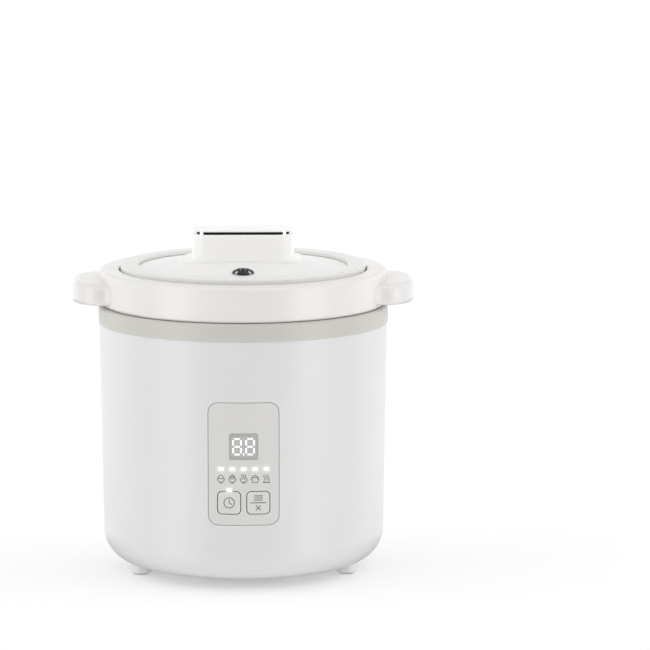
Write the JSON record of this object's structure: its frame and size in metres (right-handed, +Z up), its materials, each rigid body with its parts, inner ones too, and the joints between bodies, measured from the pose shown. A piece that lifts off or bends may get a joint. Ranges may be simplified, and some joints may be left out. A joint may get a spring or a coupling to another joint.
{
  "type": "rice cooker",
  "caption": "Round countertop rice cooker with lift-out ceramic pot with ears, domed lift-off lid with block handle and vent, and a front panel with display and keys.",
  "frame": {"origin": "on the surface the cooker stands on, under the middle of the round body", "axes": "+Z up along the body's round axis, front with the control panel towards -Y, pot ears along +X and -X, mains inlet at +Y"},
  "size_m": [0.2484, 0.2112, 0.2502],
  "materials": {
    "white_casing": "glossy white moulding",
    "ring_grey": "satin taupe grey",
    "panel_grey": "pale grey gloss film",
    "window_grey": "smoked window",
    "lit_white": "lit diffuser",
    "ceramic": "white glaze, opaque",
    "lid_white": "glossy white",
    "lid_ring_white": "satin off-white",
    "seal_rubber": "translucent silicone",
    "chrome": "polished",
    "satin_silver": "satin",
    "bare_aluminium": "as cast",
    "steel": "brushed",
    "dark_steel": "heat-blued sheath",
    "pad_rubber": "matte",
    "black_moulding": "matte black",
    "board_green": "solder mask",
    "winding": "taped winding",
    "relay_blue": "blue case",
    "can_sleeve": "black sleeve",
    "brass_pin": "plated",
    "wire_cover": "silicone wire",
    "ribbon_grey": "flat cable"
  },
  "bodies": {
    "cooker_body": {"outer_housing": "white_casing", "top_ring": "ring_grey", "inner_liner": "steel", "liner_screws": "steel", "heating_plate": "bare_aluminium", "heater_element": "dark_steel", "heater_bolts": "steel", "heater_nuts": "steel", "sensor_bracket": "steel", "sensor_spring": "steel", "thermal_fuse": "bare_aluminium", "base_cover": "white_casing", "base_screws": "steel", "feet": "white_casing", "foot_pads": "pad_rubber", "mains_inlet": "black_moulding", "inlet_pins": "brass_pin", "power_board": "board_green", "board_screws": "steel", "transformer": "winding", "relay": "relay_blue", "capacitor": "can_sleeve", "terminal_block": "black_moulding", "mains_leads": "wire_cover", "heater_leads": "wire_cover", "panel_ribbon": "ribbon_grey", "control_panel": "panel_grey", "display_window": "window_grey", "digit_segments": "lit_white", "mode_lights": "lit_white", "preset_light": "lit_white", "display_board": "board_green", "panel_screws": "steel", "led_display": "black_moulding", "key_switches": "black_moulding", "status_leds": "lit_white"},
    "pot": {"inner_pot": "ceramic", "pot_collar": "ceramic"},
    "lid": {"lid_panel": "lid_white", "lid_rim": "lid_ring_white", "lid_seal": "seal_rubber", "handle_base": "lid_white", "lid_handle": "lid_white", "handle_trim": "chrome", "handle_top": "satin_silver", "handle_screws": "steel", "steam_vent": "chrome"},
    "preset_key": {"preset_button": "panel_grey"},
    "menu_key": {"menu_button": "panel_grey"},
    "sensor": {"sensor_cap": "bare_aluminium", "thermistor": "black_moulding"}
  },
  "joints": [
    {"name": "pot_lift", "type": "slide", "parent": "cooker_body", "child": "pot", "axis": [0, 0, 1], "range_m": [0, 0.122]},
    {"name": "lid_lift", "type": "slide", "parent": "pot", "child": "lid", "axis": [0, 0, 1], "range_m": [0, 0.03]},
    {"name": "preset_press", "type": "slide", "parent": "cooker_body", "child": "preset_key", "axis": [0, 1, 0], "range_m": [0, 0.0008], "stiffness_N_per_m": 1500},
    {"name": "menu_press", "type": "slide", "parent": "cooker_body", "child": "menu_key", "axis": [0, 1, 0], "range_m": [0, 0.0008], "stiffness_N_per_m": 1500},
    {"name": "sensor_press", "type": "slide", "parent": "cooker_body", "child": "sensor", "axis": [0, 0, 1], "range_m": [-0.003, 0], "stiffness_N_per_m": 1500, "deforming": ["sensor_spring"]}
  ]
}
